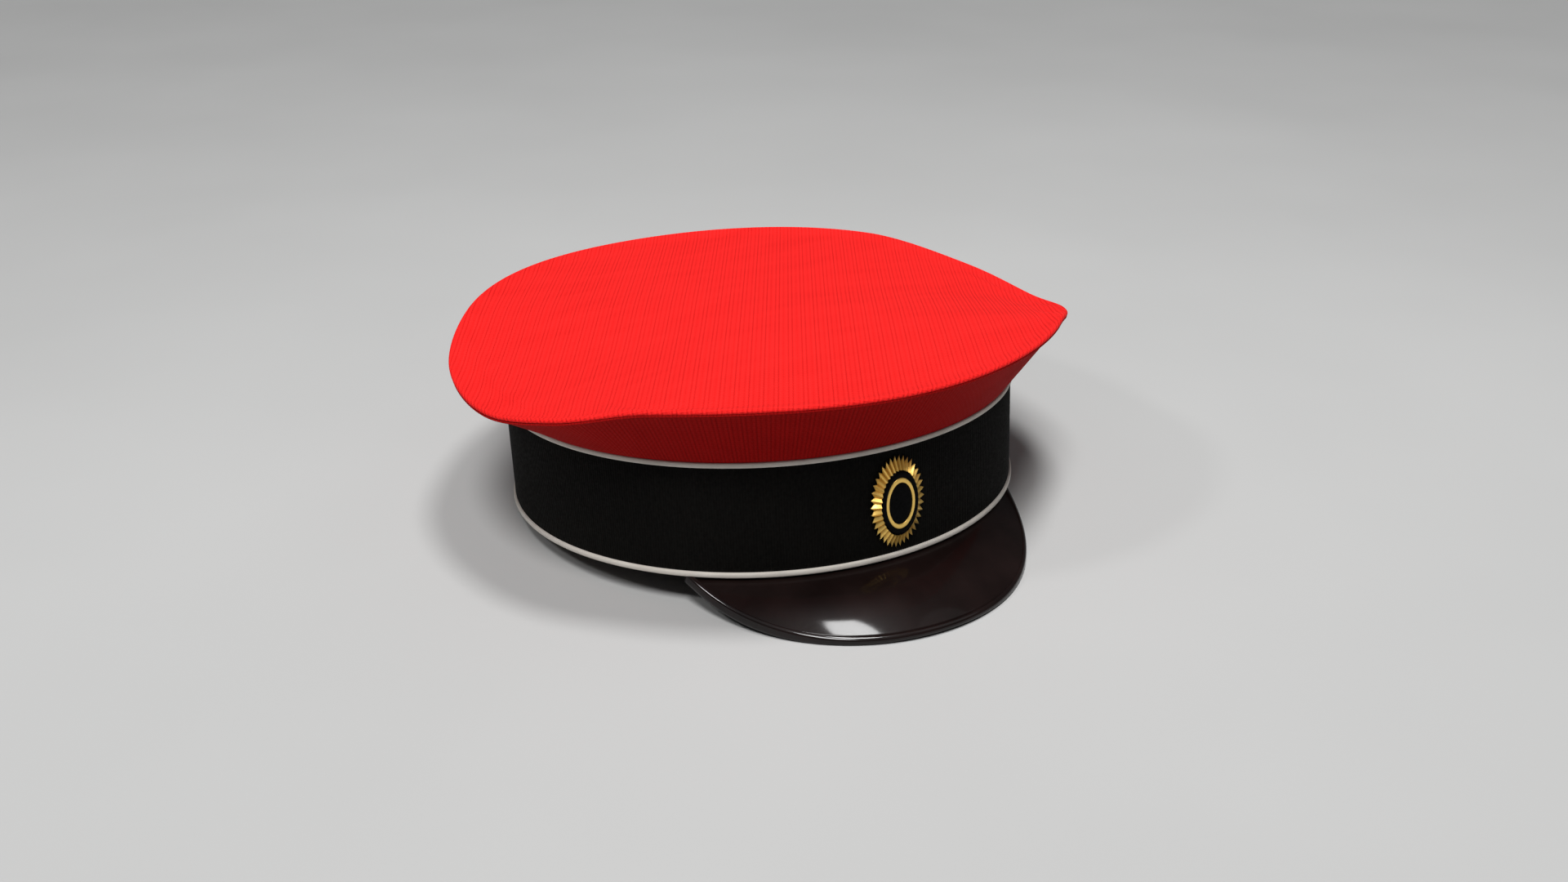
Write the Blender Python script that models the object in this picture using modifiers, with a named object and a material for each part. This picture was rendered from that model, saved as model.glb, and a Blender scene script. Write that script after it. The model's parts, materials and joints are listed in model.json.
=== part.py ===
"""Military peaked cap: soft red crown, black band with two pipings, patent visor, oval cockade.

The pieces are modelled in the cap's own frame and parented to the empty cap_datum. In that frame
the band's axis is Z, z = 0 is the plane of the lower piping, the front is -Y and the wearer's
left is +X. Angles are measured from the front, growing towards +X. The datum leans the cap back
so that it stands on the rear of its lower piping and on the two corners of its visor.
"""
import math

import bmesh
import bpy
from mathutils import Matrix, Vector

MM = 0.001
SEGMENTS = 64                    # facets round the head

# Driving dimensions, in millimetres.
BAND_R = 98.5                    # centre line of both pipings
BAND_H = 40.9                    # between the two centre lines
PIPING_R = 1.0
GAP = 0.35                       # left between touching pieces
CLOTH_OUTER = 98.6
CLOTH_T = 1.2
STIFFENER_T = 1.5
SWEATBAND_OUTER = 94.5
SWEATBAND_T = 1.2
SWEATBAND_FOOT = 1.0
SWEATBAND_TOP = 37.0
SHELL_T = 1.2                    # crown cloth with its interlining
LINING_T = 0.6

# How the cap stands: lean back, and where the datum sits so that the box is centred on the floor.
LEAN = math.radians(4.0)
DATUM_Y = 5.94

# Crown edge, where the top meets the sides: angle from the front, overhang beyond the band,
# rise above the band. The edge droops over both ears.
CROWN_EDGE = (
    (0, 20.4, 26.7),
    (45, 19.5, 26.1),
    (62, 22.7, 20.1),
    (80, 22.3, 15.1),
    (100, 20.2, 19.6),
    (125, 14.0, 29.2),
    (180, 16.0, 30.4),
)
CROWN_MIDDLE = 30.0              # rise of the middle of the top above the band
WELT_R = 0.9
CROWN_TOP_INSET = 2.25           # top cloth's edge, inside the welt
PANEL_TOP_DROP = 2.75            # side cloth's upper edge, below the crown edge
PANEL_BASE_R = CLOTH_OUTER - 0.3
PANEL_BASE = BAND_H + PIPING_R + GAP
PANEL_SEAM = 88.0                # side seams of the crown, just behind the ears' droop
HOOP_R = 1.0
HOOP_INSET = 7.4                 # hoop centre from the crown edge
HOOP_GAP_ANGLE = 1.2             # opening between the hoop's ends
FERRULE_BORE = 1.45
FERRULE_WALL = 0.6
FERRULE_LENGTH = 11.0
STAY_DEPTHS = (-2.3, -1.7)       # back and front of the stay, behind the front panel's face
PADDING_DEPTHS = (-4.3, -2.8)
LINING_INSET = 16.0              # lining's corner from the crown edge
LINING_DROP = 5.0                # lining below the top
LINING_FOOT_GAP = 0.4            # lining's foot outside the sweatband
SHIELD_T = 0.35
SHIELD_SHARE = 0.5               # sweat shield's radius over the top lining's

# Sweatband's joint at the back: slit, and the tape behind it.
SLIT = (1.5, 8.0, 60.0)
TAPE_T = 0.4
TAPE_HALF_ANGLE = 5.625
TAPE_ENDS = (34.0, 3.0)
REED_R = 0.75
REED_HEIGHT = -0.2

# Visor: reach beyond the band and fall below it, as functions of the angle.
VISOR_HALF_ANGLE = 44.7
VISOR_REACH = 30.7
VISOR_TUCK = 0.7                 # ends of the bound edge, inside the band's radius
VISOR_FALL = 12.8
VISOR_FALL_POWER = 1.3
VISOR_CORNER_FALL = 19.75        # extra fall towards the two front corners
VISOR_INNER_R = 96.2
VISOR_ROOT = -2.3                # middle of the visor's thickness at the band
VISOR_CURVE_POWER = 1.5          # level at the band, steepest at the bound edge
VISOR_HALF_T = 1.1
VISOR_SHEET_ANGLE = 42.0
VISOR_RIM_ANGLE = 44.0
VISOR_LAYERS = {                 # lower and upper face, from the middle of the thickness
    "visor_shell": (0.4, 1.1),
    "visor_core": (-0.4, 0.1),
    "visor_lining": (-1.1, -0.7),
}

# Cockade: radii along its tall axis, heights out from the band.
RING_SQUASH = 0.60               # width over height of the rings
PETAL_SQUASH = 0.63              # and of the sunburst's tips
PETALS = 38
PETAL_T = 0.5
FLANGE = (11.0, 1.6)             # sunburst's inner edge, under the black ring
SEAT = (12.5, 1.6)
ROOT_R = 12.9
ROOT_HEIGHTS = (2.9, 2.2)        # on a petal's ridge and in the valley beside it
PETAL_TIP_R = 17.8
PETAL_NOTCH_R = 15.8
PETAL_END_HEIGHT = 0.85
BACKPLATE = ((0.0, 0.8), (13.0, 0.8), (13.0, 0.35), (0.0, 0.35))
BLACK_RING = ((8.7, 2.55), (10.5, 2.55), (10.5, 3.0), (11.8, 3.0), (12.2, 2.7), (12.2, 1.95),
              (8.7, 1.95))
GOLD_RING = ((8.2, 3.3), (9.7, 3.25), (10.0, 2.9), (7.75, 2.9), (7.85, 3.2))
CENTRE = ((0.0, 3.0), (4.0, 2.9), (7.3, 2.7), (8.3, 2.55), (8.3, 1.2), (0.0, 1.2))
PRONG_Y = 6.0
PRONG_HALF_W = 1.5
PRONG_T = 0.5
PRONG_LEG = 7.0
PRONG_LEG_T = 0.4                # thinner than the prong, to lie flat behind the board
PRONG_SLOT_DEPTH = 7.0
PRONG_SLOT_MIDDLE = -1.6
PRONG_CLEARANCE = 0.4            # all round the prong, in its slot


# Scene and materials ---------------------------------------------------------------------------

def clear_scene():
    for obj in list(bpy.data.objects):
        bpy.data.objects.remove(obj, do_unlink=True)


def new_collection(name):
    collection = bpy.data.collections.new(name)
    bpy.context.scene.collection.children.link(collection)
    return collection


def new_material(name, colour, roughness, metallic=0.0):
    material = bpy.data.materials.new(name)
    material.use_nodes = True
    shader = material.node_tree.nodes["Principled BSDF"]
    shader.inputs["Base Color"].default_value = (*colour, 1.0)
    shader.inputs["Roughness"].default_value = roughness
    shader.inputs["Metallic"].default_value = metallic
    material.diffuse_color = (*colour, 1.0)
    return material


clear_scene()
PARTS = new_collection("peaked_cap")
CUTTERS = new_collection("cutters")

RED_WOOL = ((0.55, 0.012, 0.012), 0.85)
RED_CORD = ((0.42, 0.010, 0.010), 0.80)
BLACK_RIB = ((0.010, 0.009, 0.008), 0.75)
WHITE_CORD = ((0.50, 0.47, 0.43), 0.80)
BOARD = ((0.30, 0.23, 0.15), 0.90)
LEATHER = ((0.16, 0.070, 0.030), 0.55)
PATENT = ((0.012, 0.007, 0.006), 0.12)
SATIN = ((0.055, 0.020, 0.018), 0.45)
FELT = ((0.35, 0.33, 0.30), 0.95)
CELLULOID = ((0.60, 0.55, 0.42), 0.20)
TAPE = ((0.030, 0.028, 0.026), 0.80)
STEEL = ((0.45, 0.45, 0.46), 0.35, 1.0)
BRASS = ((0.60, 0.42, 0.14), 0.30, 1.0)
GILT = ((0.72, 0.50, 0.17), 0.28, 1.0)
ENAMEL = ((0.008, 0.008, 0.008), 0.20)


# Frames and curves -----------------------------------------------------------------------------

def add_datum(name, location, rotation, parent=None):
    empty = bpy.data.objects.new(name, None)
    empty.empty_display_size = 0.02
    empty.location = location
    empty.rotation_euler = rotation
    empty.parent = parent
    PARTS.objects.link(empty)
    return empty


def datum_height():
    """Height of the datum at which the rear of the lower piping touches the floor."""
    return BAND_R * math.sin(LEAN) + PIPING_R


CAP = add_datum("cap_datum", (0.0, DATUM_Y * MM, datum_height() * MM), (-LEAN, 0.0, 0.0))
COCKADE = add_datum("cockade_datum", (0.0, -CLOTH_OUTER * MM, BAND_H / 2 * MM),
                    (math.pi / 2, 0.0, 0.0), CAP)


def around(angle, radius, height):
    """A point of the cap's frame, from degrees off the front, radius and height in mm."""
    turn = math.radians(angle)
    return Vector((radius * math.sin(turn), -radius * math.cos(turn), height)) * MM


def through_stations(table, column, angle):
    """Smooth curve through one column of a table of stations, level at both ends."""
    angle = abs((angle + 180.0) % 360.0 - 180.0)
    knots = [row[0] for row in table]
    values = [row[column] for row in table]
    last = len(table) - 1

    def slope(i):
        if i in (0, last):
            return 0.0
        return (values[i + 1] - values[i - 1]) / (knots[i + 1] - knots[i - 1])

    i = max(k for k in range(last) if knots[k] <= angle)
    span = knots[i + 1] - knots[i]
    s = (angle - knots[i]) / span
    return ((2 * s**3 - 3 * s**2 + 1) * values[i] + (s**3 - 2 * s**2 + s) * span * slope(i)
            + (3 * s**2 - 2 * s**3) * values[i + 1] + (s**3 - s**2) * span * slope(i + 1))


def crown_edge(angle):
    """Radius and height of the crown's edge."""
    return (BAND_R + through_stations(CROWN_EDGE, 1, angle),
            BAND_H + through_stations(CROWN_EDGE, 2, angle))


def crown_top_height(angle, radius):
    """Height of the top's outer face: a shallow dome hung from the drooping edge."""
    edge_r, edge_z = crown_edge(angle)
    middle_z = BAND_H + CROWN_MIDDLE
    return middle_z + (edge_z - middle_z) * (radius / edge_r) ** 2


def panel_point(angle, rise):
    """Outer face of the crown's side: rise 0 at the band, 1 under the welt."""
    edge_r, edge_z = crown_edge(angle)
    low = Vector((PANEL_BASE_R, PANEL_BASE))
    high = Vector((edge_r - WELT_R, edge_z - PANEL_TOP_DROP))
    spot = low.lerp(high, rise)
    return around(angle, spot.x, spot.y)


def visor_width_factor(angle):
    """1 at the middle of the visor, 0 where its edge meets the band."""
    return max(0.0, math.cos(math.pi / 2 * angle / VISOR_HALF_ANGLE))


def visor_rim(angle):
    """Radius and height of the centre of the visor's bound edge."""
    w = visor_width_factor(angle)
    fall = VISOR_FALL * w**VISOR_FALL_POWER + VISOR_CORNER_FALL * w * (1.0 - w)
    return BAND_R - VISOR_TUCK + (VISOR_REACH + VISOR_TUCK) * w, VISOR_ROOT - fall


def visor_point(angle, out):
    """Middle of the visor's thickness: out 0 at the band, 1 just inside the bound edge."""
    rim_r, rim_z = visor_rim(angle)
    full = rim_r - VISOR_INNER_R
    t = out * (1.0 - (VISOR_HALF_T + GAP) / full)
    height = VISOR_ROOT + (rim_z - VISOR_ROOT) * t**VISOR_CURVE_POWER
    return around(angle, VISOR_INNER_R + full * t, height)


# Makers ----------------------------------------------------------------------------------------

def add_part(name, data, finish, parent=CAP):
    obj = bpy.data.objects.new(name, data)
    PARTS.objects.link(obj)
    obj.parent = parent
    obj.data.materials.append(new_material(name, *finish))
    return obj


def spread(low, high, count):
    return [low + (high - low) * i / count for i in range(count + 1)]


def round_angles(count=SEGMENTS):
    return spread(-180.0, 180.0, count)[:-1]


def loft_mesh(name, rows, closed=False):
    """Open surface through rows of points; a first row of one point makes a fan."""
    bm = bmesh.new()
    grid = [[bm.verts.new(point) for point in row] for row in rows]
    for inner, outer in zip(grid, grid[1:]):
        columns = len(outer) if closed else len(outer) - 1
        for j in range(columns):
            k = (j + 1) % len(outer)
            if len(inner) == 1:
                bm.faces.new((inner[0], outer[j], outer[k]))
            else:
                bm.faces.new((inner[j], outer[j], outer[k], inner[k]))
    mesh = bpy.data.meshes.new(name)
    bm.to_mesh(mesh)
    bm.free()
    mesh.shade_smooth()
    mesh.set_sharp_from_angle(angle=math.radians(40))
    return mesh


def add_sheet(name, rows, finish, low, high, closed=False, even=True, parent=CAP):
    """Sheet of cloth, leather or board between two offsets along its surface's normal."""
    obj = add_part(name, loft_mesh(name, rows, closed), finish, parent)
    solidify = obj.modifiers.new("thickness", "SOLIDIFY")
    solidify.thickness = (high - low) * MM
    solidify.offset = (high + low) / (high - low)
    solidify.use_even_offset = even
    return obj


def add_turned(name, outline, finish, parent=CAP, segments=SEGMENTS, closed=True):
    """Turned piece: outline of (radius, height) in mm, running down its outer side."""
    mesh = bpy.data.meshes.new(name)
    count = len(outline)
    edges = [(i, (i + 1) % count) for i in range(count if closed else count - 1)]
    mesh.from_pydata([(r * MM, 0.0, z * MM) for r, z in outline], edges, [])
    obj = add_part(name, mesh, finish, parent)
    screw = obj.modifiers.new("turn", "SCREW")
    screw.steps = segments
    screw.render_steps = segments
    screw.use_merge_vertices = True
    screw.merge_threshold = 0.00001
    screw.use_smooth_shade = False
    return obj


def add_ring(name, outer, thickness, low, high, finish):
    """Upright ring round the head."""
    inner = outer - thickness
    return add_turned(name, [(outer, high), (outer, low), (inner, low), (inner, high)], finish)


def add_tube(name, points, radius, finish, cyclic, resolution=1):
    """Cord or wire along a route."""
    curve = bpy.data.curves.new(name, "CURVE")
    curve.dimensions = "3D"
    spline = curve.splines.new("POLY")
    spline.points.add(len(points) - 1)
    for spot, point in zip(spline.points, points):
        spot.co = (*point, 1.0)
    spline.use_cyclic_u = cyclic
    curve.bevel_depth = radius * MM
    curve.bevel_resolution = resolution
    curve.use_fill_caps = True
    return add_part(name, curve, finish)


def add_torus(name, height, finish):
    """Piping round the band at a height."""
    bpy.ops.mesh.primitive_torus_add(
        major_radius=BAND_R * MM, minor_radius=PIPING_R * MM,
        major_segments=SEGMENTS, minor_segments=6, location=(0.0, 0.0, 0.0))
    obj = bpy.context.object
    for collection in list(obj.users_collection):
        collection.objects.unlink(obj)
    PARTS.objects.link(obj)
    obj.name = name
    obj.data.name = name
    obj.parent = CAP
    obj.location = (0.0, 0.0, height * MM)
    obj.data.materials.append(new_material(name, *finish))
    obj.data.shade_smooth()
    return obj


def add_box_cutter(name, size, location, parent):
    mesh = bpy.data.meshes.new(name)
    bm = bmesh.new()
    bmesh.ops.create_cube(bm, size=1.0, matrix=Matrix.Diagonal((*(s * MM for s in size), 1.0)))
    bm.to_mesh(mesh)
    bm.free()
    obj = bpy.data.objects.new(name, mesh)
    CUTTERS.objects.link(obj)
    obj.parent = parent
    obj.location = Vector(location) * MM
    obj.hide_render = True
    obj.display_type = "WIRE"
    return obj


def cut(obj, cutter):
    boolean = obj.modifiers.new("cut_" + cutter.name, "BOOLEAN")
    boolean.operation = "DIFFERENCE"
    boolean.object = cutter


# Crown -----------------------------------------------------------------------------------------

def make_crown_top():
    rows = [[around(0.0, 0.0, BAND_H + CROWN_MIDDLE)]]
    for share in (0.25, 0.5, 0.75, 0.9, 1.0):
        row = []
        for angle in round_angles():
            radius = share * (crown_edge(angle)[0] - CROWN_TOP_INSET)
            row.append(around(angle, radius, crown_top_height(angle, radius)))
        rows.append(row)
    add_sheet("crown_top", rows, RED_WOOL, -SHELL_T, 0.0, closed=True)


def make_crown_welt():
    points = []
    for angle in round_angles():
        radius, height = crown_edge(angle)
        points.append(around(angle, radius - WELT_R, height - WELT_R / 2))
    add_tube("crown_welt", points, WELT_R, RED_CORD, cyclic=True)


def make_crown_panels():
    """Front panel and two rear panels, sewn together over the ears and at centre back."""
    seam = math.degrees(GAP / 2 / BAND_R)
    spans = {
        "crown_front_panel": (-PANEL_SEAM + seam, PANEL_SEAM - seam, 32),
        "crown_rear_left_panel": (PANEL_SEAM + seam, 180.0 - seam, 16),
        "crown_rear_right_panel": (-180.0 + seam, -PANEL_SEAM - seam, 16),
    }
    for name, (low, high, count) in spans.items():
        angles = spread(low, high, count)
        rows = [[panel_point(angle, rise) for angle in angles] for rise in (1.0, 0.66, 0.33, 0.0)]
        add_sheet(name, rows, RED_WOOL, -SHELL_T, 0.0)


def hoop_centre(angle):
    """Radius and height of the hoop, in the corner between the top and the side."""
    edge_r, edge_z = crown_edge(angle)
    to_middle = Vector((-edge_r, BAND_H + CROWN_MIDDLE - edge_z)).normalized()
    to_band = Vector((BAND_R - edge_r, PANEL_BASE - edge_z)).normalized()
    spot = Vector((edge_r, edge_z)) + (to_middle + to_band).normalized() * HOOP_INSET
    return spot.x, spot.y


def make_hoop():
    """Spring steel hoop, open at the back, with its ends in a ferrule."""
    last = 180.0 - HOOP_GAP_ANGLE / 2
    angles = spread(-last, last, SEGMENTS)
    points = [around(angle, *hoop_centre(angle)) for angle in angles]
    add_tube("crown_hoop", points, HOOP_R, STEEL, cyclic=False)

    outer = FERRULE_BORE + FERRULE_WALL
    end = FERRULE_LENGTH / 2
    outline = [(outer, end), (outer, -end), (FERRULE_BORE, -end), (FERRULE_BORE, end)]
    ferrule = add_turned("hoop_ferrule", outline, BRASS, segments=16)
    ferrule.location = around(180.0, *hoop_centre(180.0))
    ferrule.rotation_euler = (0.0, math.pi / 2, 0.0)


def make_front_stay():
    """Flat spring that holds the front of the crown up, against the front panel."""
    rows = [[panel_point(angle, rise) for angle in (-4.0, 0.0, 4.0)] for rise in (0.7, 0.4, 0.1)]
    add_sheet("front_stay", rows, STEEL, *STAY_DEPTHS)


def make_front_padding():
    """Felt pad behind the stay."""
    rows = [[panel_point(angle, rise) for angle in spread(-40.0, 40.0, 14)]
            for rise in (0.66, 0.48, 0.3)]
    add_sheet("front_padding", rows, FELT, *PADDING_DEPTHS)


def lining_corner(angle):
    """Radius and height where the side lining meets the top lining."""
    radius = crown_edge(angle)[0] - LINING_INSET
    return radius, crown_top_height(angle, radius) - LINING_DROP


def make_lining():
    foot = Vector((SWEATBAND_OUTER + LINING_FOOT_GAP, BAND_H + GAP))
    side = []
    for share in (1.0, 0.5, 0.0):
        row = []
        for angle in round_angles():
            corner = Vector(lining_corner(angle)) - Vector((0.0, LINING_T + GAP))
            spot = foot.lerp(corner, share)
            row.append(around(angle, spot.x, spot.y))
        side.append(row)
    add_sheet("crown_lining_side", side, SATIN, -LINING_T, 0.0, closed=True)
    add_sheet("crown_lining_top", lined_top_rows(1.0, 0.0), SATIN, -LINING_T, 0.0, closed=True)
    add_sheet("sweat_shield", lined_top_rows(SHIELD_SHARE, LINING_T + GAP), CELLULOID, -SHIELD_T,
              0.0, closed=True)


def lined_top_rows(share_out, below):
    """Rows of a sheet that follows the top lining out to a share of its radius."""
    rows = [[around(0.0, 0.0, BAND_H + CROWN_MIDDLE - LINING_DROP - below)]]
    for share in (0.35, 0.7, 1.0):
        row = []
        for angle in round_angles():
            radius = share_out * share * lining_corner(angle)[0]
            row.append(around(angle, radius,
                              crown_top_height(angle, radius) - LINING_DROP - below))
        rows.append(row)
    return rows


# Band and sweatband ----------------------------------------------------------------------------

def make_band():
    low = PIPING_R + GAP
    cloth = add_ring("band_cloth", CLOTH_OUTER, CLOTH_T, low, BAND_H - low, BLACK_RIB)
    board_outer = CLOTH_OUTER - CLOTH_T - GAP
    board = add_ring("band_stiffener", board_outer, STIFFENER_T, 0.0, BAND_H - GAP, BOARD)
    size = (2 * (PRONG_HALF_W + PRONG_CLEARANCE), PRONG_T + 2 * PRONG_CLEARANCE, PRONG_SLOT_DEPTH)
    for side, name in ((1.0, "upper"), (-1.0, "lower")):
        slot = add_box_cutter("prong_slot_" + name, size,
                              (0.0, side * PRONG_Y, PRONG_SLOT_MIDDLE), COCKADE)
        cut(cloth, slot)
        cut(board, slot)
    add_torus("piping_upper", BAND_H, WHITE_CORD)
    add_torus("piping_lower", 0.0, WHITE_CORD)


def make_sweatband():
    """Leather band inside, open at the back over a tape, sewn along its foot to a reed."""
    leather = add_ring("sweatband", SWEATBAND_OUTER, SWEATBAND_T, SWEATBAND_FOOT, SWEATBAND_TOP,
                       LEATHER)
    slit = add_box_cutter("sweatband_slit", SLIT,
                          (0.0, SWEATBAND_OUTER - SWEATBAND_T / 2, SWEATBAND_TOP / 2), CAP)
    cut(leather, slit)
    tape_rows = [[around(180.0 + angle, SWEATBAND_OUTER + GAP + TAPE_T, height)
                  for angle in spread(-TAPE_HALF_ANGLE, TAPE_HALF_ANGLE, 2)]
                 for height in TAPE_ENDS]
    add_sheet("sweatband_tape", tape_rows, TAPE, -TAPE_T, 0.0)
    reed = [around(angle, SWEATBAND_OUTER, REED_HEIGHT) for angle in round_angles()]
    add_tube("sweatband_reed", reed, REED_R, LEATHER, cyclic=True)


# Visor -----------------------------------------------------------------------------------------

def make_visor():
    angles = spread(-VISOR_SHEET_ANGLE, VISOR_SHEET_ANGLE, 24)
    rows = [[visor_point(angle, out) for angle in angles] for out in spread(0.0, 1.0, 5)]
    finishes = {"visor_shell": PATENT, "visor_core": BOARD, "visor_lining": LEATHER}
    for name, (low, high) in VISOR_LAYERS.items():
        add_sheet(name, rows, finishes[name], low, high)
    rim = [around(angle, *visor_rim(angle))
           for angle in spread(-VISOR_RIM_ANGLE, VISOR_RIM_ANGLE, 40)]
    add_tube("visor_rim", rim, VISOR_HALF_T, PATENT, cyclic=False)


# Cockade ---------------------------------------------------------------------------------------

def oval_point(turn, radius, height, squash=RING_SQUASH):
    """Point of the cockade's frame: its tall axis is Y, and Z points out from the band."""
    return Vector((radius * squash * math.sin(turn), -radius * math.cos(turn), height)) * MM


def make_cockade_rim():
    """Pleated sunburst: every petal has a raised ridge that ends in its tip."""
    flange, seat, root, edge = [], [], [], []
    for i in range(2 * PETALS):
        turn = math.pi * i / PETALS
        end_r = PETAL_NOTCH_R if i % 2 else PETAL_TIP_R
        flange.append(oval_point(turn, *FLANGE))
        seat.append(oval_point(turn, *SEAT))
        root.append(oval_point(turn, ROOT_R, ROOT_HEIGHTS[i % 2]))
        edge.append(oval_point(turn, end_r, PETAL_END_HEIGHT, PETAL_SQUASH))
    add_sheet("cockade_rim", [flange, seat, root, edge], GILT, -PETAL_T, 0.0, closed=True,
              even=False, parent=COCKADE)


def add_oval(name, outline, finish, closed=True):
    obj = add_turned(name, outline, finish, COCKADE, segments=40, closed=closed)
    obj.scale.x = RING_SQUASH
    return obj


def make_cockade_dishes():
    add_oval("cockade_backplate", BACKPLATE, BRASS, closed=False)
    add_oval("cockade_black_ring", BLACK_RING, ENAMEL)
    add_oval("cockade_gold_ring", GOLD_RING, GILT)
    add_oval("cockade_centre", CENTRE, ENAMEL, closed=False)


def make_prong(name, side):
    """Flat prong through the band, bent over behind the stiffener."""
    y = side * PRONG_Y
    half = side * PRONG_T / 2
    back = -(CLOTH_OUTER - SWEATBAND_OUTER - GAP)
    front_of_leg = back + PRONG_LEG_T
    tip = y + side * PRONG_LEG
    outline = [(y - half, 0.0), (y - half, back), (tip, back), (tip, front_of_leg),
               (y + half, front_of_leg), (y + half, 0.0)]
    curve = bpy.data.curves.new(name, "CURVE")
    curve.dimensions = "2D"
    curve.fill_mode = "BOTH"
    curve.extrude = PRONG_HALF_W * MM
    spline = curve.splines.new("POLY")
    spline.points.add(len(outline) - 1)
    for spot, (up, out) in zip(spline.points, outline):
        spot.co = (out * MM, up * MM, 0.0, 1.0)
    spline.use_cyclic_u = True
    prong = add_part(name, curve, BRASS, COCKADE)
    prong.rotation_euler = (0.0, -math.pi / 2, 0.0)


def make_cockade():
    make_cockade_rim()
    make_cockade_dishes()
    make_prong("cockade_prong_upper", 1.0)
    make_prong("cockade_prong_lower", -1.0)


make_crown_top()
make_crown_welt()
make_crown_panels()
make_hoop()
make_front_stay()
make_front_padding()
make_lining()
make_band()
make_sweatband()
make_visor()
make_cockade()
bpy.context.view_layer.update()
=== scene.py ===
"""Looks of the military peaked cap: cloth, cords, patent leather and cockade round the CAD frame.

Every piece is made in the cap's own frame, as the CAD is: the band's axis is Z, z = 0 is the
plane of the lower piping, the front is -Y and the wearer's left is +X. Angles are degrees from
the front, growing towards +X. Sizes are in millimetres until a point is made.
"""
import json
import math

import bmesh
import bpy
from mathutils import Matrix, Vector, noise


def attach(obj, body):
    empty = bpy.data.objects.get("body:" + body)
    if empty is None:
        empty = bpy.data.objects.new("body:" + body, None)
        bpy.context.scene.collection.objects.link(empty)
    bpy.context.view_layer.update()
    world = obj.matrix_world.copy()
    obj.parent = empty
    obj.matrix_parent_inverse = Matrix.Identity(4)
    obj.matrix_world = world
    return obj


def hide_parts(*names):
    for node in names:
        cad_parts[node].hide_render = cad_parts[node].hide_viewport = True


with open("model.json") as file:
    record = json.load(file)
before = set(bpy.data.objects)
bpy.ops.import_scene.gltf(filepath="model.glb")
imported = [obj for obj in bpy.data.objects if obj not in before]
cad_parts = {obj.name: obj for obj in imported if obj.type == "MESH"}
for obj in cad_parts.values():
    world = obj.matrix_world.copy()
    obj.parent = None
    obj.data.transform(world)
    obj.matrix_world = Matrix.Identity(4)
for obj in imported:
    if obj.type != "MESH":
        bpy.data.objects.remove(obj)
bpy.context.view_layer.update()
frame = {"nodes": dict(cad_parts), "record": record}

MM = 0.001
BODY = "root"

# Sizes shared with the CAD design.
BAND_R = 98.5
BAND_H = 40.9
PIPING_R = 1.0
CLOTH_OUTER = 98.6
STIFFENER_INNER = 95.55
SWEATBAND_OUTER = 94.5
SWEATBAND_TOP = 37.0
CROWN_EDGE = (                   # angle from the front, overhang beyond and rise above the band
    (0, 20.4, 26.7),
    (45, 19.5, 26.1),
    (62, 22.7, 20.1),
    (80, 22.3, 15.1),
    (100, 20.2, 19.6),
    (125, 14.0, 29.2),
    (180, 16.0, 30.4),
)
CROWN_MIDDLE = 30.0
PANEL_SEAM = 88.0
LINING_INSET = 16.0
LINING_DROP = 5.0
VISOR_HALF_ANGLE = 44.7
VISOR_REACH = 30.7
VISOR_TUCK = 0.7
VISOR_FALL = 12.8
VISOR_FALL_POWER = 1.3
VISOR_CORNER_FALL = 19.75
VISOR_INNER_R = 96.2
VISOR_ROOT = -2.3
VISOR_CURVE_POWER = 1.5
PETALS = 38

# Threads, in metres from one to the next.
WEAVE_PITCH = 0.0012
WOOL_RIB_PITCH = WEAVE_PITCH * 1.35
PICK_PITCH = 0.00042
TWILL_PITCH = 0.0006
SATIN_PITCH = 0.0004
GRAIN_TURN = 29.5                # degrees that the top cloth's threads are turned from the front

# Crown.
TOP_GRID = 80                    # cells across the crown's top before it is subdivided
TOP_SLACK = 2.0                  # how far the settled top may move from its taut shape
TOP_HOLD = 0.5                   # width of the sewn edge inside the roll
SETTLE_FRAMES = 16
EDGE_ROLL = 1.2                  # radius of the top cloth's turned-down edge
ROLL_STEP = 22.5                 # degrees of that roll from one ring of points to the next
WELT_R = 0.5
CLOTH_WAVE = 0.35                # depths of the faint waves, drag lines and puckers
DRAG_DEPTH = 0.30
PUCKER_DEPTH = 0.10

# Band and its cords.
BAND_RIBS = 620
RIB_DEPTH = 0.09
BAND_SEAM_DEPTH = 0.35
CORD_HALF_W = 0.95
CORD_POWER = 2.9                 # between a round cord, 2, and a square one

# Visor: its two faces, as depths either side of its middle, and its turned-down lip.
SHELL_DEPTHS = (0.3, 0.85)
LINING_DEPTHS = (-0.85, -0.5)
LAYER_HALF_ANGLE = 43.4
LIP_HALF_ANGLE = 44.3
LIP_LIFT = 1.8                   # extra height of the lip at its corners
LIP_PROFILE = (                  # (out, up) from the centre of the visor's edge
    (-1.5, 0.80), (-1.2, 0.90), (-0.7, 0.92), (-0.2, 0.86), (0.15, 0.70), (0.40, 0.42),
    (0.62, 0.05), (0.74, -0.35), (0.68, -0.70), (0.40, -0.88), (-0.2, -0.94), (-1.2, -0.94),
    (-1.7, -0.88), (-1.4, 0.0),
)

# Cockade: width over height of its rings and tips, and where the petals end.
RING_SQUASH = 0.615
PETAL_SQUASH = 0.64
PETAL_TIP_R = 17.3
PETAL_NOTCH_R = 14.8

# Inside.
SHIELD_HALF = 51.0
SHIELD_POWER = 1.35              # between a diamond, 1, and a circle, 2
STITCH_R = 0.22
STITCH_HALF_LENGTH = 1.0

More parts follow.
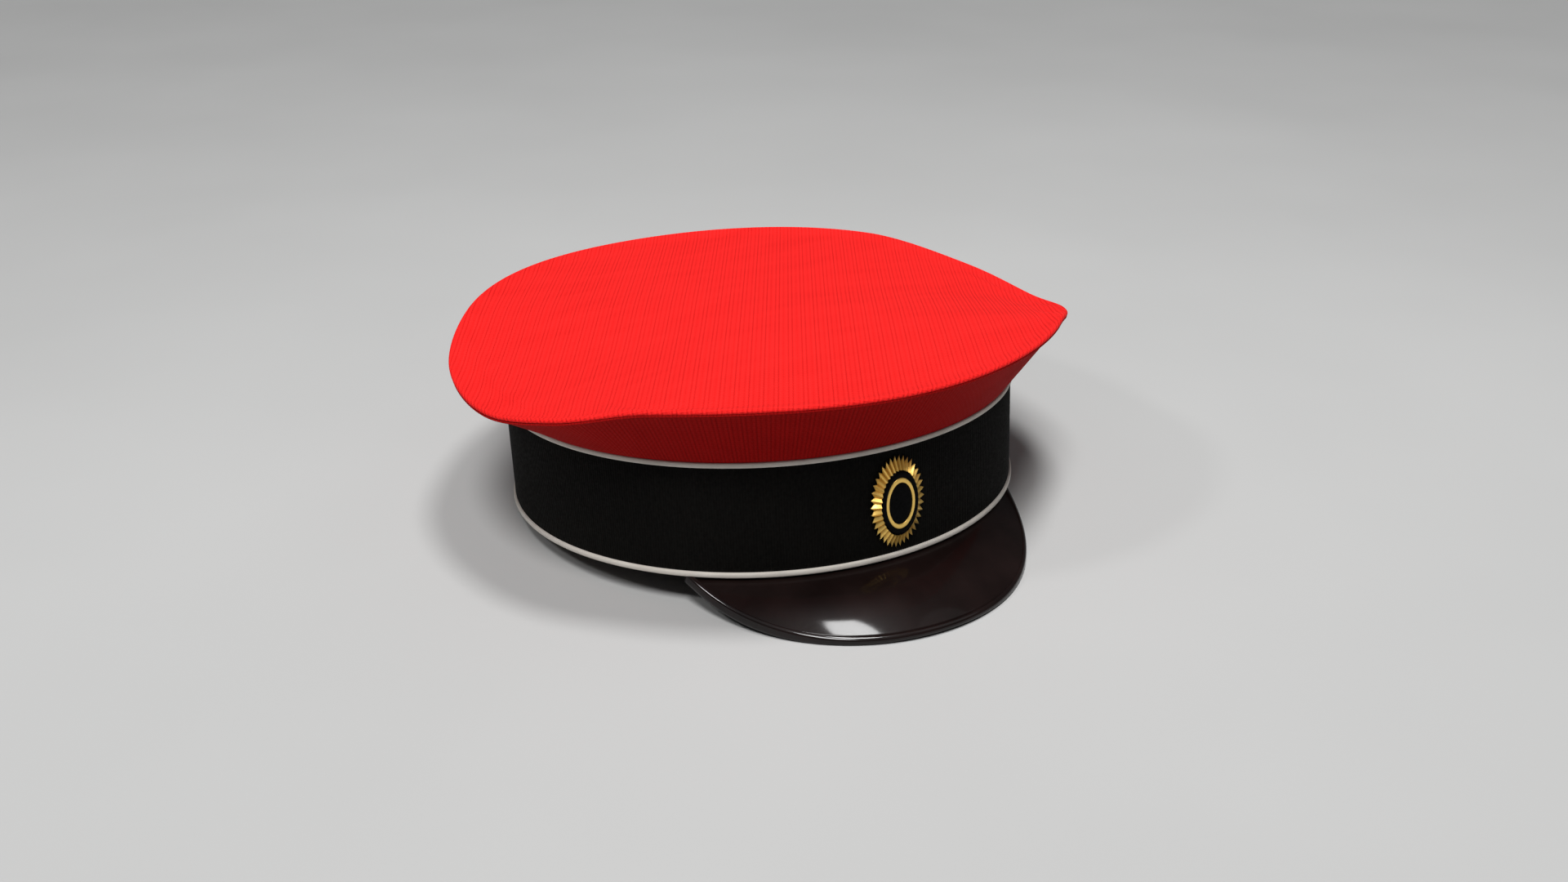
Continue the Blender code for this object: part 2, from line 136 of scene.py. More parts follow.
# Stage and light: metres, and watts or, for the front light, its strength.
FLOOR_SIZE = 60.0
LIT_POINT = (0.0, -0.03, 0.04)
FRONT_LIGHT_PLACE = (-0.29, -0.40, 1.0)
FRONT_LIGHT_STRENGTH = 2.1
FRONT_LIGHT_WIDTH = 18.0         # degrees across
LAMPS = (                        # name, place, width and power
    ("top_light", (0.06, -0.14, 1.10), 0.21, 6.0),
    ("edge_light", (-0.85, -0.05, 0.92), 0.14, 2.2),
    ("right_light", (0.60, -0.30, 0.95), 0.60, 0.4),
)
ROOM_COLOUR = (0.85, 0.88, 0.92, 1.0)
ROOM_STRENGTH = 0.09

# Camera: where it stands and how it is turned, in metres and degrees.
CAMERA_PLACE = (-0.2644, -0.4817, 0.2765)
CAMERA_TURN = (65.09, 0.277, -29.504)
CAMERA_LENS = 35.0


# The cap's frame and its curves ------------------------------------------------------------------

def cap_frame():
    """Band's own frame, from the head opening's centre and axis."""
    mount = next(m for m in frame["record"]["mounts"] if m["name"] == "head_opening")
    out = Vector(mount["axis"])
    lean = math.atan2(-out.y, -out.z)
    return Matrix.Translation(mount["pos_m"]) @ Matrix.Rotation(-lean, 4, "X")


CAP = cap_frame()
COCKADE = (CAP @ Matrix.Translation((0.0, -CLOTH_OUTER * MM, BAND_H / 2 * MM))
           @ Matrix.Rotation(math.pi / 2, 4, "X"))


def around(angle, radius, height):
    """A point of the cap's frame, from degrees off the front, radius and height in mm."""
    turn = math.radians(angle)
    return Vector((radius * math.sin(turn), -radius * math.cos(turn), height)) * MM


def outward(angle):
    """Unit vector straight away from the band's axis."""
    return around(angle, 1.0, 0.0).normalized()


def through_stations(table, column, angle):
    """Smooth curve through one column of a table of stations, level at both ends."""
    angle = abs((angle + 180.0) % 360.0 - 180.0)
    knots = [row[0] for row in table]
    values = [row[column] for row in table]
    last = len(table) - 1

    def slope(i):
        if i in (0, last):
            return 0.0
        return (values[i + 1] - values[i - 1]) / (knots[i + 1] - knots[i - 1])

    i = max(k for k in range(last) if knots[k] <= angle)
    span = knots[i + 1] - knots[i]
    s = (angle - knots[i]) / span
    return ((2 * s**3 - 3 * s**2 + 1) * values[i] + (s**3 - 2 * s**2 + s) * span * slope(i)
            + (3 * s**2 - 2 * s**3) * values[i + 1] + (s**3 - s**2) * span * slope(i + 1))


def crown_edge(angle):
    """Radius and height of the crown's edge."""
    return (BAND_R + through_stations(CROWN_EDGE, 1, angle),
            BAND_H + through_stations(CROWN_EDGE, 2, angle))


def crown_top_height(angle, radius):
    """Height of the top's outer face: a shallow dome hung from the drooping edge."""
    edge_r, edge_z = crown_edge(angle)
    middle_z = BAND_H + CROWN_MIDDLE
    return middle_z + (edge_z - middle_z) * (radius / edge_r) ** 2


def visor_rim(angle):
    """Radius and height of the centre of the visor's bound edge."""
    w = max(0.0, math.cos(math.pi / 2 * angle / VISOR_HALF_ANGLE))
    fall = VISOR_FALL * w**VISOR_FALL_POWER + VISOR_CORNER_FALL * w * (1.0 - w)
    return BAND_R - VISOR_TUCK + (VISOR_REACH + VISOR_TUCK) * w, VISOR_ROOT - fall


def visor_point(angle, out):
    """Middle of the visor's thickness: out 0 at the band, 1 at the centre of the bound edge."""
    rim_r, rim_z = visor_rim(angle)
    height = VISOR_ROOT + (rim_z - VISOR_ROOT) * out**VISOR_CURVE_POWER
    return around(angle, VISOR_INNER_R + (rim_r - VISOR_INNER_R) * out, height)


def lip_lift(angle):
    """How much taller the lip is than at the middle of the visor."""
    return LIP_LIFT * ease(8.0, 34.0, abs(angle))


def visor_crest_point(angle, out):
    """As visor_point, for the top face, which meets the top of the lip."""
    return visor_point(angle, out) + Vector((0.0, 0.0, lip_lift(angle) * out**2 * MM))


def wobble(point, size, seed):
    """Smooth noise from -1 to 1 whose lumps are about size metres."""
    return noise.noise(point / size + Vector((seed, 0.0, 0.0)))


def spread(low, high, count):
    """Values from low to high in count equal steps."""
    return [low + (high - low) * i / count for i in range(count + 1)]


ROUND = spread(-180.0, 180.0, 360)


def ease(low, high, value):
    """0 below low, 1 above high, smooth between."""
    s = min(1.0, max(0.0, (value - low) / (high - low)))
    return s * s * (3.0 - 2.0 * s)


# Materials ---------------------------------------------------------------------------------------

class Graph:
    """A material's node tree, with short names for the nodes used here."""

    def __init__(self, name, roughness, metallic=0.0, **sockets):
        self.material = bpy.data.materials.new(name)
        self.material.use_nodes = True
        self.tree = self.material.node_tree
        self.shader = self.tree.nodes["Principled BSDF"]
        self.shader.inputs["Roughness"].default_value = roughness
        self.shader.inputs["Metallic"].default_value = metallic
        for socket, value in sockets.items():
            self.shader.inputs[socket.replace("_", " ")].default_value = value

    def feed(self, socket, value):
        """Links a socket to another, or sets its number or colour."""
        if isinstance(value, bpy.types.NodeSocket):
            self.tree.links.new(value, socket)
        else:
            socket.default_value = value

    def node(self, kind, inputs, output, **settings):
        """Adds a node and gives back one of its outputs."""
        made = self.tree.nodes.new(kind)
        for key, value in settings.items():
            setattr(made, key, value)
        for key, value in inputs.items():
            self.feed(made.inputs[key], value)
        return made.outputs[output]

    def surface(self):
        """(along, across) in metres on the piece's surface."""
        uv = self.node("ShaderNodeUVMap", {}, "UV", uv_map="surface")
        split = self.tree.nodes.new("ShaderNodeSeparateXYZ")
        self.feed(split.inputs[0], uv)
        return split.outputs["X"], split.outputs["Y"]

    def math(self, operation, a, b=0.0):
        return self.node("ShaderNodeMath", {0: a, 1: b}, 0, operation=operation)

    def blend(self, *shares):
        """Weighted sum of (value, weight) pairs."""
        total = 0.0
        for value, weight in shares:
            total = self.math("ADD", self.math("MULTIPLY", value, weight), total)
        return total

    def noise(self, size, detail, stretch=(1.0, 1.0, 1.0)):
        """Noise whose lumps are about size metres."""
        place = self.node("ShaderNodeTexCoord", {}, "Object")
        place = self.node("ShaderNodeMapping", {"Vector": place, "Scale": stretch}, 0)
        return self.node("ShaderNodeTexNoise",
                         {"Vector": place, "Scale": 1.0 / size, "Detail": detail}, "Fac")

    def wave(self, along, pitch):
        return self.math("SINE", self.math("MULTIPLY", along, math.pi / pitch))

    def thread(self, along, pitch):
        """0 between threads, 1 on their backs."""
        return self.math("ABSOLUTE", self.wave(along, pitch))

    def weave(self, along, across, pitch):
        """Plain weave: each thread passes over one and under the next."""
        warp = self.thread(along, pitch)
        weft = self.thread(across, pitch)
        turns = self.math("MULTIPLY", self.wave(along, pitch), self.wave(across, pitch))
        over = self.math("GREATER_THAN", turns, 0.0)
        under = self.math("SUBTRACT", 1.0, over)
        return self.math("ADD", self.math("MULTIPLY", over, warp),
                         self.math("MULTIPLY", under, weft))

    def level(self, value, low, high, at_low, at_high):
        """Number that runs from at_low to at_high as value runs from low to high."""
        return self.node("ShaderNodeMapRange",
                         {"Value": value, "From Min": low, "From Max": high,
                          "To Min": at_low, "To Max": at_high}, "Result")

    def tint(self, value, low, high, dark, light):
        """Colour that runs from dark to light as value runs from low to high."""
        made = self.tree.nodes.new("ShaderNodeMix")
        made.data_type = "RGBA"
        factor, first, second = made.inputs[0], made.inputs[6], made.inputs[7]
        self.feed(factor, self.level(value, low, high, 0.0, 1.0))
        first.default_value = (*dark, 1.0)
        second.default_value = (*light, 1.0)
        return made.outputs[2]

    def bump(self, height, depth, strength, under=None):
        inputs = {"Height": height, "Distance": depth, "Strength": strength}
        if under is not None:
            inputs["Normal"] = under
        return self.node("ShaderNodeBump", inputs, "Normal")

    def finish(self, colour, normal, roughness):
        self.feed(self.shader.inputs["Base Color"], colour)
        self.feed(self.shader.inputs["Normal"], normal)
        self.feed(self.shader.inputs["Roughness"], roughness)
        return self.material


def wool(name, dark, light, rib):
    """Fine wool cloth: plain weave, a share of ribs, soft nap, slight mottling; the gaps between
    threads are painted darker as shade.
    """
    graph = Graph(name, 0.85, Sheen_Weight=0.10, Sheen_Roughness=0.5,
                  Sheen_Tint=(1.0, 0.06, 0.05, 1.0), Specular_IOR_Level=0.08)
    along, across = graph.surface()
    weave = graph.weave(along, across, WEAVE_PITCH)
    ribs = graph.thread(along, WOOL_RIB_PITCH)
    cloth = graph.blend((weave, 1.0 - rib), (ribs, rib))
    nap = graph.noise(0.0007, 3.0)
    bands = graph.noise(0.012, 3.0, stretch=(0.35, 1.4, 1.0))
    # Painted shade: the weave's share darkens the gaps between threads and ribs.
    tone = graph.blend((cloth, 0.55), (nap, 0.20), (bands, 0.25))
    fuzz = graph.bump(nap, 0.00006, 0.5)
    return graph.finish(graph.tint(tone, 0.25, 0.75, dark, light),
                        graph.bump(cloth, 0.00020, 0.8, fuzz),
                        graph.level(tone, 0.3, 0.8, 0.92, 0.78))


def ribbed_cloth(name):
    """Black ribbed band cloth: the ribs are modelled, fine picks cross them."""
    graph = Graph(name, 0.7, Sheen_Weight=0.02, Sheen_Roughness=0.4,
                  Sheen_Tint=(0.6, 0.55, 0.5, 1.0), Specular_IOR_Level=0.07)
    along, across = graph.surface()
    picks = graph.thread(graph.blend((across, 1.0), (along, 0.3)), PICK_PITCH)
    lint = graph.noise(0.0011, 3.0)
    blotch = graph.noise(0.03, 3.0)
    tone = graph.blend((lint, 0.6), (blotch, 0.4))
    return graph.finish(graph.tint(tone, 0.35, 0.75, (0.0016, 0.0014, 0.0011),
                                   (0.0050, 0.0044, 0.0036)),
                        graph.bump(graph.blend((picks, 0.7), (lint, 0.5)), 0.00007, 0.7),
                        graph.level(lint, 0.3, 0.7, 0.78, 0.60))


def cord_cloth(name, dark, light):
    """Cloth-covered cord: slanted twill lines, loose fibres, faint grime."""
    graph = Graph(name, 0.8, Sheen_Weight=0.12, Sheen_Roughness=0.5, Specular_IOR_Level=0.2)
    along, across = graph.surface()
    slant = graph.thread(graph.math("ADD", along, across), TWILL_PITCH)
    fibre = graph.noise(0.0005, 3.0)
    grime = graph.noise(0.016, 4.0)
    tone = graph.blend((slant, 0.35), (fibre, 0.25), (grime, 0.5))
    return graph.finish(graph.tint(tone, 0.25, 0.85, dark, light),
                        graph.bump(graph.blend((slant, 1.0), (fibre, 0.6)), 0.00010, 0.7),
                        graph.level(fibre, 0.3, 0.7, 0.88, 0.70))


def patent(name, coat):
    """Black patent lacquer: deep gloss, faint ripple, hairline scratches."""
    graph = Graph(name, 0.4, Coat_Weight=coat, Coat_Roughness=0.08, Coat_IOR=1.5,
                  Specular_IOR_Level=0.06)
    ripple = graph.noise(0.011, 1.0)
    grain = graph.noise(0.0006, 2.0)
    scratch = graph.noise(0.003, 3.0, stretch=(1.0, 8.0, 1.0))
    tone = graph.noise(0.02, 3.0)
    fine = graph.bump(grain, 0.00001, 0.5)
    return graph.finish(graph.tint(tone, 0.3, 0.75, (0.0050, 0.0025, 0.0022),
                                   (0.0120, 0.0062, 0.0056)),
                        graph.bump(ripple, 0.00025, 0.25, fine),
                        graph.level(scratch, 0.40, 0.75, 0.36, 0.48))


def leather(name, dark, light, grain_size):
    """Grained leather: pebbled cells, darker creases, uneven dye."""
    graph = Graph(name, 0.5, Specular_IOR_Level=0.4)
    place = graph.node("ShaderNodeTexCoord", {}, "Object")
    cells = graph.node("ShaderNodeTexVoronoi", {"Vector": place, "Scale": 1.0 / grain_size},
                       "Distance", feature="F1")
    dye = graph.noise(0.022, 4.0)
    tone = graph.blend((dye, 0.9), (cells, -0.25))
    folds = graph.bump(graph.noise(0.004, 3.0), 0.0002, 0.4)
    return graph.finish(graph.tint(tone, 0.15, 0.65, dark, light),
                        graph.bump(graph.math("MULTIPLY", cells, -1.0), 0.00012, 0.55, folds),
                        graph.level(dye, 0.3, 0.7, 0.42, 0.62))


def satin(name, dark, light):
    """Lining satin: long floats in slanted lines, smoother than the cloth between them and painted
    lighter as painted sheen.
    """
    graph = Graph(name, 0.38, Anisotropic=0.5, Sheen_Weight=0.2, Sheen_Roughness=0.3,
                  Specular_IOR_Level=0.55)
    along, across = graph.surface()
    floats = graph.thread(graph.blend((along, 1.0), (across, 0.35)), SATIN_PITCH)
    cloud = graph.noise(0.015, 3.0)
    soft = graph.bump(cloud, 0.0006, 0.4)
    # Painted sheen: the floats lighten the colour along slanted lines.
    return graph.finish(graph.tint(graph.blend((floats, 0.4), (cloud, 1.0)), 0.3, 1.1, dark, light),
                        graph.bump(floats, 0.00004, 0.5, soft),
                        graph.level(floats, 0.0, 1.0, 0.48, 0.32))


def metal(name, dark, light, roughness):
    """Metal with uneven tone and fine marks."""
    graph = Graph(name, roughness, metallic=1.0)
    cloud = graph.noise(0.006, 4.0)
    marks = graph.noise(0.0006, 3.0, stretch=(1.0, 1.0, 6.0))
    return graph.finish(graph.tint(cloud, 0.3, 0.7, dark, light),
                        graph.bump(marks, 0.00002, 0.35),
                        graph.level(marks, 0.35, 0.7, roughness * 0.8, roughness * 1.45))


def gilding_with_painted_shade(name):
    """Satin gilt: bright on the ridges, painted darker and browner down in the pleats as shade."""
    graph = Graph(name, 0.4, metallic=0.72, Specular_IOR_Level=0.5)
    # The second place on the surface runs from the pleats' bottoms to the ridges; the gilt is
    # painted darker low down, as shade.
    _, ridge = graph.surface()
    cloud = graph.noise(0.0016, 3.0)
    tone = graph.blend((ridge, 1.0), (cloud, 0.4))
    return graph.finish(graph.tint(tone, 0.15, 0.95, (0.50, 0.25, 0.035), (1.0, 0.66, 0.17)),
                        graph.bump(graph.noise(0.0004, 2.0), 0.00002, 0.4),
                        graph.level(cloud, 0.3, 0.7, 0.30, 0.44))


def enamel(name):
    """Black enamel with a slight ripple."""
    graph = Graph(name, 0.3, Specular_IOR_Level=0.03)
    return graph.finish(graph.tint(graph.noise(0.0015, 3.0), 0.3, 0.7, (0.0012, 0.0012, 0.0014),
                                   (0.0034, 0.0032, 0.0034)),
                        graph.bump(graph.noise(0.0018, 2.0), 0.00004, 0.4),
                        graph.level(graph.noise(0.003, 3.0), 0.3, 0.7, 0.22, 0.34))


def fibre(name, dark, light, size, depth):
    """Board, felt or tape: matted fibres."""
    graph = Graph(name, 0.9, Specular_IOR_Level=0.2, Sheen_Weight=0.1)
    strands = graph.noise(size, 5.0, stretch=(1.0, 1.0, 3.0))
    return graph.finish(graph.tint(strands, 0.3, 0.7, dark, light),
                        graph.bump(strands, depth, 0.6),
                        graph.level(strands, 0.3, 0.7, 0.95, 0.80))


def celluloid(name):
    """Amber celluloid patch: glossy, slightly cockled."""
    graph = Graph(name, 0.2, Coat_Weight=1.0, Coat_Roughness=0.05)
    cockle = graph.noise(0.02, 3.0)
    return graph.finish(graph.tint(cockle, 0.3, 0.7, (0.22, 0.13, 0.05), (0.34, 0.22, 0.10)),
                        graph.bump(cockle, 0.0008, 0.5),
                        graph.level(graph.noise(0.002, 4.0), 0.4, 0.7, 0.15, 0.35))


FINISH = {
    "red_wool": wool("red_wool", (0.56, 0.0072, 0.0068), (0.94, 0.0202, 0.0188), 0.5),
    "red_cord": wool("red_cord", (0.26, 0.0025, 0.0022), (0.46, 0.0055, 0.0050), 0.0),
    "black_ribbed_cloth": ribbed_cloth("black_ribbed_cloth"),
    "white_cord": cord_cloth("white_cord", (0.44, 0.400, 0.350), (0.82, 0.770, 0.705)),
    "patent_leather": patent("patent_leather", 0.26),
    "leather": leather("leather", (0.075, 0.028, 0.011), (0.21, 0.095, 0.042), 0.0011),
    "visor_underside_leather": leather("visor_underside_leather", (0.012, 0.008, 0.006),
                                       (0.045, 0.028, 0.020), 0.0008),
    "satin": satin("satin", (0.030, 0.010, 0.009), (0.085, 0.030, 0.027)),
    "celluloid": celluloid("celluloid"),
    "board": fibre("board", (0.16, 0.11, 0.065), (0.34, 0.25, 0.16), 0.0012, 0.0001),
    "felt": fibre("felt", (0.24, 0.23, 0.21), (0.42, 0.40, 0.37), 0.0008, 0.0002),
    "tape": fibre("tape", (0.015, 0.014, 0.013), (0.045, 0.042, 0.039), 0.0006, 0.0001),
    "spring_steel": metal("spring_steel", (0.20, 0.21, 0.24), (0.48, 0.48, 0.50), 0.32),
    "brass": metal("brass", (0.42, 0.27, 0.08), (0.70, 0.49, 0.17), 0.30),
    "gilt": gilding_with_painted_shade("gilt"),
    "black_enamel": enamel("black_enamel"),
}
# Darker copy of the red wool for the side panels: painted shade, the same cloth as the top.
SHADED_SIDE_WOOL = wool("red_wool_painted_shade", (0.20, 0.0012, 0.0010), (0.35, 0.0028, 0.0024), 0.6)
LIP_PATENT = patent("patent_lip", 0.55)
THREAD = cord_cloth("brown_thread", (0.10, 0.055, 0.025), (0.22, 0.13, 0.065))


# Makers ------------------------------------------------------------------------------------------

def grid_mesh(name, rows, uvs, caps=False):
    """Quads through rows of points with their places on the surface; meeting edges are welded."""
    bm = bmesh.new()
    layer = bm.loops.layers.uv.new("surface")
    grid = [[bm.verts.new(point) for point in row] for row in rows]
    for i in range(len(grid) - 1):
        for j in range(len(grid[i]) - 1):
            spots = ((i, j), (i + 1, j), (i + 1, j + 1), (i, j + 1))
            face = bm.faces.new([grid[a][b] for a, b in spots])
            for loop, (a, b) in zip(face.loops, spots):
                loop[layer].uv = uvs[a][b]
    bmesh.ops.remove_doubles(bm, verts=bm.verts, dist=0.000002)
    if caps:
        bmesh.ops.holes_fill(bm, edges=[e for e in bm.edges if e.is_boundary], sides=0)
        bmesh.ops.recalc_face_normals(bm, faces=bm.faces)
    mesh = bpy.data.meshes.new(name)
    bm.to_mesh(mesh)
    bm.free()
    mesh.shade_smooth()
    return mesh


def add_piece(name, mesh, slot, replaced=(), place=CAP, material=None):
    """Puts a mesh in place as a piece of its own, with its slot's finish unless one is given."""
    mesh.transform(place)
    obj = bpy.data.objects.new(name, mesh)
    bpy.context.scene.collection.objects.link(obj)
    mesh.materials.append(material or FINISH[slot])
    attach(obj, BODY)
    if replaced:
        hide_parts(*replaced)
    return obj


def thicken(obj, low, high):
    """Gives a sheet its thickness between two offsets along its normal, in mm."""
    solidify = obj.modifiers.new("thickness", "SOLIDIFY")
    solidify.thickness = (high - low) * MM
    solidify.offset = (high + low) / (high - low)
    solidify.use_even_offset = True
    return solidify


def add_layer(name, rows, places, depths, slot, node):
    """Sheet through rows of points, from one depth to another along its normal, in mm."""
    layer = add_piece(name, grid_mesh(name, rows, places), slot, [node])
    thicken(layer, *depths)
    return layer


def run_lengths(points):
    """Distance along a row of points, from its first."""
    total, out = 0.0, [0.0]
    for a, b in zip(points, points[1:]):
        total += (b - a).length
        out.append(total)
    return out


def surface_places(rows):
    """(along, across) of every point: along the rows, measured on the longest, and down them."""
    along = run_lengths(max(rows, key=lambda row: run_lengths(row)[-1]))
    middle = len(rows[0]) // 2
    across = run_lengths([row[middle] for row in rows])
    return [[(u, v) for u in along] for v in across]


def flat_places(rows):
    """(along, across) of every point of a sheet that lies nearly flat."""
    return [[(point.x, point.y) for point in row] for row in rows]


def swept_ring(name, path, profile):
    """Sweep of a closed profile of (out, up) offsets all round the head, along path(angle)."""
    rows = []
    for out, up in [*profile, profile[0]]:
        rows.append([around(angle, path(angle)[0] + out, path(angle)[1] + up)
                     for angle in ROUND])
    return grid_mesh(name, rows, surface_places(rows))


def rounded_profile(half_w, half_h, power, count=20):
    """Closed superellipse, clockwise with outwards to the right; power 2 is an ellipse."""
    def part(value):
        return math.copysign(abs(value) ** (2.0 / power), value)

    turns = [2 * math.pi * i / count for i in range(count)]
    return [(half_w * part(math.cos(t)), -half_h * part(math.sin(t))) for t in turns]


def disc_rows(count, point_at):
    """Square grid pulled out to a disc: rows of point_at(angle, share of the radius)."""
    rows = []
    for v in spread(-1.0, 1.0, count):
        row = []
        for u in spread(-1.0, 1.0, count):
            x = u * math.sqrt(1.0 - v * v / 2)
            y = v * math.sqrt(1.0 - u * u / 2)
            row.append(point_at(math.degrees(math.atan2(x, -y)), min(1.0, math.hypot(x, y))))
        rows.append(row)
    return rows


def add_stitches(name, stitches, slot):
    """Row of short raised stitches of brown thread, each at a place along a direction."""
    bm = bmesh.new()
    for centre, along in stitches:
        turn = along.to_track_quat("X", "Z").to_matrix().to_4x4()
        shape = Matrix.Diagonal((STITCH_HALF_LENGTH * MM, STITCH_R * MM, STITCH_R * MM, 1.0))
        bmesh.ops.create_uvsphere(bm, u_segments=8, v_segments=6, radius=1.0,
                                  matrix=Matrix.Translation(centre) @ turn @ shape)
    bm.loops.layers.uv.new("surface")
    mesh = bpy.data.meshes.new(name)
    bm.to_mesh(mesh)
    bm.free()
    mesh.shade_smooth()
    add_piece(name, mesh, slot, material=THREAD)


# Crown -------------------------------------------------------------------------------------------

def settle_cloth(obj, held):
    """Lets a sheet settle under its own weight, pinned at its held points, and keeps the result."""
    pins = obj.vertex_groups.new(name="held")
    pins.add(held, 1.0, "REPLACE")
    before = [vertex.co.copy() for vertex in obj.data.vertices]
    modifier = obj.modifiers.new("cloth", "CLOTH")
    cloth = modifier.settings
    cloth.vertex_group_mass = "held"
    cloth.quality = 6
    cloth.mass = 0.15
    cloth.tension_stiffness = 25.0
    cloth.compression_stiffness = 12.0
    cloth.shear_stiffness = 8.0
    cloth.bending_stiffness = 1.5
    cloth.air_damping = 4.0
    cloth.shrink_min = -0.004
    modifier.collision_settings.use_collision = False
    modifier.point_cache.frame_start = 1
    modifier.point_cache.frame_end = SETTLE_FRAMES
    scene = bpy.context.scene
    for step in range(1, SETTLE_FRAMES + 1):
        scene.frame_set(step)
    with bpy.context.temp_override(object=obj, active_object=obj):
        bpy.ops.object.modifier_apply(modifier=modifier.name)
    scene.frame_set(1)
    obj.vertex_groups.clear()
    for vertex, start in zip(obj.data.vertices, before):
        move = vertex.co - start
        if move.length > TOP_SLACK * MM:
            vertex.co = start + move.normalized() * TOP_SLACK * MM


def crown_top_point(angle, share):
    """Top cloth's face, as far as its turned-down edge."""
    edge_r, _ = crown_edge(angle)
    radius = share * (edge_r - EDGE_ROLL)
    point = around(angle, radius, crown_top_height(angle, radius))
    loose = ease(0.15, 0.6, share) * (1.0 - ease(0.9, 0.99, share))
    point.z += MM * CLOTH_WAVE * wobble(point, 0.05, 3.0) * loose
    return point


def turn_down_edge(mesh):
    """Rolls the top cloth's edge down and tucks it in over the welt."""
    turns = [math.radians(ROLL_STEP * step) for step in (1, 2, 3, 4)]
    path = [(EDGE_ROLL * (math.sin(t) - 1.0), EDGE_ROLL * (math.cos(t) - 1.0)) for t in turns]
    path += [(-0.05, -EDGE_ROLL - 0.35), (-0.6, -EDGE_ROLL - 0.6)]
    bm = bmesh.new()
    bm.from_mesh(mesh)
    layer = bm.loops.layers.uv["surface"]
    rim = [edge for edge in bm.edges if edge.is_boundary]
    places = {vertex: vertex.co.xy for edge in rim for vertex in edge.verts}
    for step, (out, up) in enumerate(path, 1):
        made = bmesh.ops.extrude_edge_only(bm, edges=rim)["geom"]
        rim = [item for item in made if isinstance(item, bmesh.types.BMEdge) and item.is_boundary]
        for vertex in {vertex for edge in rim for vertex in edge.verts}:
            angle = math.degrees(math.atan2(vertex.co.x, -vertex.co.y))
            edge_r, _ = crown_edge(angle)
            height = crown_top_height(angle, edge_r - EDGE_ROLL)
            vertex.co = around(angle, edge_r + out, height + up)
            run = edge_r - EDGE_ROLL + EDGE_ROLL * math.radians(ROLL_STEP) * step
            places[vertex] = around(angle, run, 0.0).xy
        for face in (item for item in made if isinstance(item, bmesh.types.BMFace)):
            for loop in face.loops:
                loop[layer].uv = places[loop.vert]
    bmesh.ops.recalc_face_normals(bm, faces=bm.faces)
    bm.to_mesh(mesh)
    bm.free()
    mesh.shade_smooth()
    return mesh


def turn_grain(mesh):
    """Turns the cloth on the piece, so that its threads run a little across the cap."""
    turn = Matrix.Rotation(math.radians(GRAIN_TURN), 2)
    for corner in mesh.uv_layers["surface"].data:
        corner.uv = turn @ corner.uv


def crown_held_points(mesh):
    """Points of the top cloth that its sewn edge holds."""
    held = []
    for vertex in mesh.vertices:
        angle = math.degrees(math.atan2(vertex.co.x, -vertex.co.y))
        radius = math.hypot(vertex.co.x, vertex.co.y) / MM
        if radius > crown_edge(angle)[0] - EDGE_ROLL - TOP_HOLD:
            held.append(vertex.index)
    return held


def make_crown_top():
    """Top cloth: a shallow dome between the drooping sides, settled with a little slack."""
    rows = disc_rows(TOP_GRID, crown_top_point)
    mesh = turn_down_edge(grid_mesh("crown_top_cloth", rows, flat_places(rows)))
    turn_grain(mesh)
    held = crown_held_points(mesh)
    top = add_piece("crown_top_cloth", mesh, "red_wool", ["crown_top"])
    settle_cloth(top, held)
    subdivision = top.modifiers.new("smooth", "SUBSURF")
    subdivision.levels = 1
    subdivision.render_levels = 1
    thicken(top, -1.0, 0.0)


def make_crown_welt():
    """Thin red cord between the top cloth's turned-down edge and the side panels."""
    def path(angle):
        edge_r, edge_z = crown_edge(angle)
        return edge_r - 0.75, edge_z - 2.05

    mesh = swept_ring("crown_edge_welt", path, rounded_profile(WELT_R, WELT_R, 2.0, 12))
    add_piece("crown_edge_welt", mesh, "red_cord", ["crown_welt"])


def panel_point(angle, rise):
    """Crown's side cloth: rise 0 behind the upper piping, 1 under the welt."""
    edge_r, edge_z = crown_edge(angle)
    low = Vector((BAND_R - 0.2, BAND_H + 0.35))
    high = Vector((edge_r - 1.1, edge_z - 2.1))
    slack = math.sin(math.pi * rise)
    spot = low.lerp(high, rise)
    point = around(angle, spot.x, spot.y)
    droop = ease(50.0, 75.0, abs(angle)) * (1.0 - ease(100.0, 125.0, abs(angle)))
    drag = DRAG_DEPTH * math.sin(math.radians(8.0 * abs(angle)) + 4.0 * rise) * droop
    pucker = PUCKER_DEPTH * ease(0.7, 0.97, rise) * wobble(point, 0.006, 9.0)
    out = MM * (slack * (CLOTH_WAVE * wobble(point, 0.04, 1.0) + drag) + pucker)
    return point + outward(angle) * out


def make_crown_panels():
    """Front panel and two rear ones; their edges turn in at the seams."""
    spans = {
        "crown_front_panel": (-PANEL_SEAM, PANEL_SEAM, 176),
        "crown_rear_left_panel": (PANEL_SEAM, 180.0, 92),
        "crown_rear_right_panel": (-180.0, -PANEL_SEAM, 92),
    }
    gap, fold, flat = 0.06, 0.3, 0.9     # degrees from the seam to the edge, the fold, flat cloth
    depth = 0.6
    for name, (low, high, count) in spans.items():
        angles = [low + gap, low + fold, *spread(low + flat, high - flat, count), high - fold,
                  high - gap]
        rows = []
        for rise in spread(1.0, 0.0, 18):
            row = []
            for angle in angles:
                turned_in = 1.0 - ease(0.0, flat, min(angle - low, high - angle))
                row.append(panel_point(angle, rise) - outward(angle) * depth * MM * turned_in)
            rows.append(row)
        # The panels wear the darker copy of the red wool, which is painted shade.
        panel = add_piece(name + "_cloth", grid_mesh(name, rows, surface_places(rows)),
                          "red_wool", [name], material=SHADED_SIDE_WOOL)
        thicken(panel, -1.1, 0.0)


